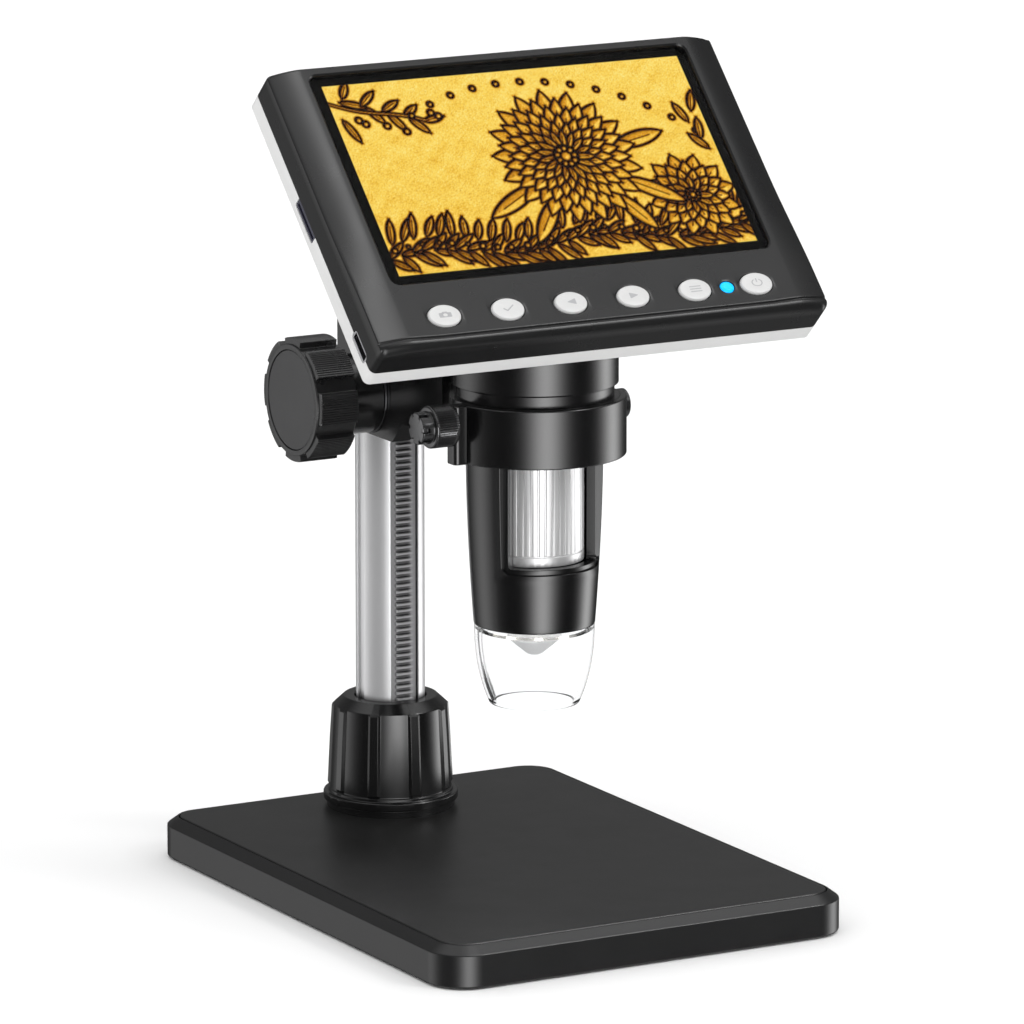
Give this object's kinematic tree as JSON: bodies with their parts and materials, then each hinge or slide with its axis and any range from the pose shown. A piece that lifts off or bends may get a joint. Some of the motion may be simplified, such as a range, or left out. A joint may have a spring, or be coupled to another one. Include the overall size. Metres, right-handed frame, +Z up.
{
  "type": "lcd digital microscope",
  "caption": "Desk microscope with a tilted built-in screen, rack-and-pinion carriage on a column, clamp ring, ribbed focus wheel, clear cap and a flat weighted stage.",
  "frame": {"origin": "centre of the base's footprint, on the table", "axes": "+X to the right of a user who faces the screen, +Y away from the user, +Z up"},
  "size_m": [0.1184, 0.1486, 0.2023],
  "materials": {
    "base_plastic": "satin black moulding",
    "stage_paint": "fine satin black paint",
    "floor_sheet": "black sheet steel",
    "steel": "plain steel",
    "rubber": "matt rubber",
    "gloss_black": "glossy black moulding",
    "knob_black": "semi-matt black",
    "knob_cap": "satin dark grey",
    "column_alu": "silver anodised",
    "rack_steel": "machined teeth",
    "nylon": "natural nylon",
    "bright_metal": "polished",
    "screw_black": "black knurled metal",
    "brass": "cut teeth",
    "wheel_silver": "silver, finely ribbed",
    "carrier_black": "matt black",
    "lens": "clear",
    "chip": "dark glass and epoxy",
    "board_green": "solder mask",
    "board_white": "white solder mask",
    "led": "clear epoxy, lit",
    "frosted": "frosted",
    "clear": "clear",
    "bezel_grey": "satin dark grey",
    "cover_white": "glossy white",
    "screen_glass": "flat clear",
    "panel": "lit picture",
    "battery_wrap": "foil wrap",
    "key_white": "white with grey symbols",
    "blue_light": "lit blue"
  },
  "bodies": {
    "stand": {"base_shell": "base_plastic", "stage_plate": "stage_paint", "floor_plate": "floor_sheet", "ballast": "steel", "base_screws": "steel", "rubber_feet": "rubber", "column_socket": "gloss_black", "column_bolt": "steel", "column": "column_alu", "gear_rack": "rack_steel", "column_cap": "knob_black"},
    "lock_nut": {"lock_nut": "gloss_black"},
    "carriage": {"carriage": "gloss_black", "slide_liner": "nylon", "carriage_arm": "gloss_black", "arm_screws": "screw_black", "clamp_band": "gloss_black", "bearing_washers": "bright_metal", "bearing_bosses": "gloss_black"},
    "thumbscrew": {"thumbscrew": "screw_black"},
    "side_screw": {"side_screw": "screw_black"},
    "focus_drive": {"focus_shaft": "steel", "pinion": "brass", "knob_left": "knob_black", "knob_right": "knob_black", "knob_cap_left": "knob_cap", "knob_cap_right": "knob_cap"},
    "microscope": {"barrel_shell": "gloss_black", "image_sensor": "chip", "sensor_board": "board_green", "led_board": "board_white", "stage_leds": "led", "light_cone": "frosted", "clear_cap": "clear", "neck": "gloss_black", "front_bezel": "bezel_grey", "rear_cover": "cover_white", "cover_glass": "screen_glass", "lcd_panel": "panel", "main_board": "board_green", "battery": "battery_wrap", "key_board": "board_green", "key_switches": "chip", "status_light": "blue_light", "usb_port": "steel", "card_socket": "chip", "cover_screws": "screw_black"},
    "focus_wheel": {"focus_wheel": "wheel_silver"},
    "lens_carrier": {"lens_carrier": "carrier_black", "lens_glass": "lens"},
    "key_camera": {"key_camera": "key_white"},
    "key_confirm": {"key_confirm": "key_white"},
    "key_left": {"key_left": "key_white"},
    "key_right": {"key_right": "key_white"},
    "key_menu": {"key_menu": "key_white"},
    "key_power": {"key_power": "key_white"}
  },
  "joints": [
    {"name": "nut_turn", "type": "hinge", "parent": "stand", "child": "lock_nut", "pos_m": [0, 0.0535, 0.012], "axis": [0, 0, 1], "continuous": true},
    {"name": "carriage_slide", "type": "slide", "parent": "stand", "child": "carriage", "axis": [0, 0, 1], "range_m": [-0.04, 0.03]},
    {"name": "focus_knob", "type": "hinge", "parent": "carriage", "child": "focus_drive", "pos_m": [0, 0.04285, 0.1156], "axis": [1, 0, 0], "range_deg": [-495, 660]},
    {"name": "thumbscrew_turn", "type": "hinge", "parent": "carriage", "child": "thumbscrew", "pos_m": [-0.024, -0.0212, 0.1201], "axis": [-1, 0, 0], "range_deg": [0, 720]},
    {"name": "side_screw_turn", "type": "hinge", "parent": "carriage", "child": "side_screw", "pos_m": [0.022, -0.018, 0.1201], "axis": [1, 0, 0], "range_deg": [0, 720]},
    {"name": "swivel", "type": "hinge", "parent": "carriage", "child": "microscope", "pos_m": [0, -0.018, 0.1107], "axis": [0, 0, 1], "range_deg": [-50, 50]},
    {"name": "wheel_turn", "type": "hinge", "parent": "microscope", "child": "focus_wheel", "pos_m": [0, -0.018, 0.0854], "axis": [0, 0, 1], "range_deg": [-150, 150]},
    {"name": "lens_slide", "type": "slide", "parent": "microscope", "child": "lens_carrier", "axis": [0, 0, 1], "range_m": [-0.0031, 0.0031]},
    {"name": "key_camera_press", "type": "slide", "parent": "microscope", "child": "key_camera", "axis": [0, 0.7145, -0.6997], "range_m": [0, 0.0005], "stiffness_N_per_m": 300, "springref_m": -0.001},
    {"name": "key_confirm_press", "type": "slide", "parent": "microscope", "child": "key_confirm", "axis": [0, 0.7145, -0.6997], "range_m": [0, 0.0005], "stiffness_N_per_m": 300, "springref_m": -0.001},
    {"name": "key_left_press", "type": "slide", "parent": "microscope", "child": "key_left", "axis": [0, 0.7145, -0.6997], "range_m": [0, 0.0005], "stiffness_N_per_m": 300, "springref_m": -0.001},
    {"name": "key_right_press", "type": "slide", "parent": "microscope", "child": "key_right", "axis": [0, 0.7145, -0.6997], "range_m": [0, 0.0005], "stiffness_N_per_m": 300, "springref_m": -0.001},
    {"name": "key_menu_press", "type": "slide", "parent": "microscope", "child": "key_menu", "axis": [0, 0.7145, -0.6997], "range_m": [0, 0.0005], "stiffness_N_per_m": 300, "springref_m": -0.001},
    {"name": "key_power_press", "type": "slide", "parent": "microscope", "child": "key_power", "axis": [0, 0.7145, -0.6997], "range_m": [0, 0.0005], "stiffness_N_per_m": 300, "springref_m": -0.001}
  ],
  "couplings": [
    {"joint": "focus_knob", "follows": "carriage_slide", "rad_per_m": -285.71},
    {"joint": "lens_slide", "follows": "wheel_turn", "m_per_rad": 0.001146}
  ]
}
